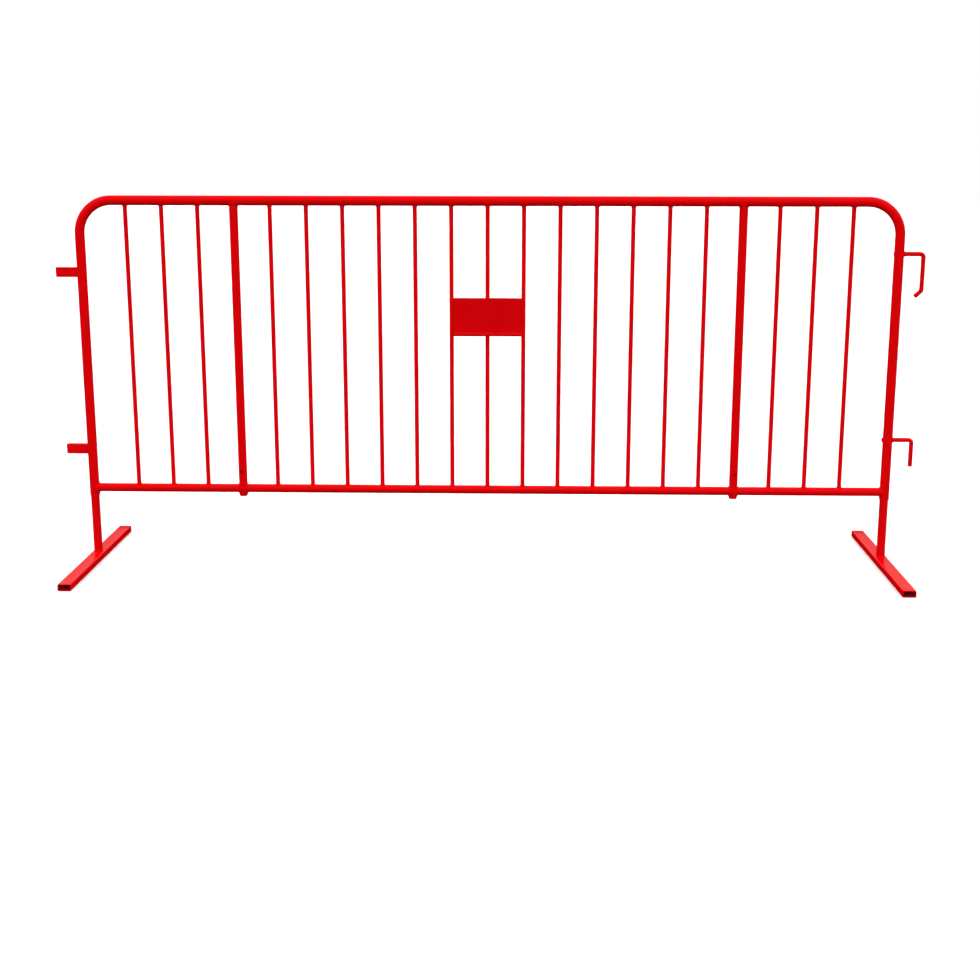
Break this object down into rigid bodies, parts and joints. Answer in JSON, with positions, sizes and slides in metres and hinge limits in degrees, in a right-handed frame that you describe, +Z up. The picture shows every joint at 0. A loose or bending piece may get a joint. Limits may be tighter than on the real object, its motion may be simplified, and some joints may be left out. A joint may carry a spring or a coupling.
{
  "type": "crowd control barrier",
  "caption": "Steel crowd control barrier: bent tube frame with upright pickets, sign plate, linking hooks and loops, and flat feet whose legs turn in and pull out of the posts.",
  "frame": {"origin": "on the ground, under the middle of the barrier's overall box: midway between the hooks' and the loops' outermost points, and midway along the feet", "axes": "+X along the barrier towards its hooks, +Y to the back, away from the sign plate, +Z up; the panel's own plane stands 20 mm behind the origin"},
  "size_m": [2.5654, 0.68, 1.103],
  "materials": {
    "red_powder_coat": "gloss"
  },
  "bodies": {
    "frame": {"frame_tube": "red_powder_coat", "left_lower_rail": "red_powder_coat", "middle_lower_rail": "red_powder_coat", "right_lower_rail": "red_powder_coat", "left_brace": "red_powder_coat", "right_brace": "red_powder_coat", "sign_plate": "red_powder_coat", "upper_hook": "red_powder_coat", "lower_hook": "red_powder_coat", "upper_loop": "red_powder_coat", "lower_loop": "red_powder_coat", "left_leg_stop": "red_powder_coat", "right_leg_stop": "red_powder_coat", "picket_01": "red_powder_coat", "picket_02": "red_powder_coat", "picket_03": "red_powder_coat", "picket_04": "red_powder_coat", "picket_05": "red_powder_coat", "picket_06": "red_powder_coat", "picket_07": "red_powder_coat", "picket_08": "red_powder_coat", "picket_09": "red_powder_coat", "picket_10": "red_powder_coat", "picket_11": "red_powder_coat", "picket_12": "red_powder_coat", "picket_13": "red_powder_coat", "picket_14": "red_powder_coat", "picket_15": "red_powder_coat", "picket_16": "red_powder_coat", "picket_17": "red_powder_coat", "picket_18": "red_powder_coat", "picket_19": "red_powder_coat"},
    "left_leg": {"left_leg": "red_powder_coat"},
    "right_leg": {"right_leg": "red_powder_coat"},
    "left_foot": {"left_foot": "red_powder_coat"},
    "right_foot": {"right_foot": "red_powder_coat"}
  },
  "joints": [
    {"name": "left_leg_slide", "type": "slide", "parent": "frame", "child": "left_leg", "axis": [0, 0, 1], "range_m": [-0.16, 0]},
    {"name": "right_leg_slide", "type": "slide", "parent": "frame", "child": "right_leg", "axis": [0, 0, 1], "range_m": [-0.16, 0]},
    {"name": "left_foot_swivel", "type": "hinge", "parent": "left_leg", "child": "left_foot", "pos_m": [-1.20491, 0.02, 0.02], "axis": [0, 0, 1], "range_deg": [-90, 90]},
    {"name": "right_foot_swivel", "type": "hinge", "parent": "right_leg", "child": "right_foot", "pos_m": [1.20491, 0.02, 0.02], "axis": [0, 0, 1], "range_deg": [-90, 90]}
  ]
}
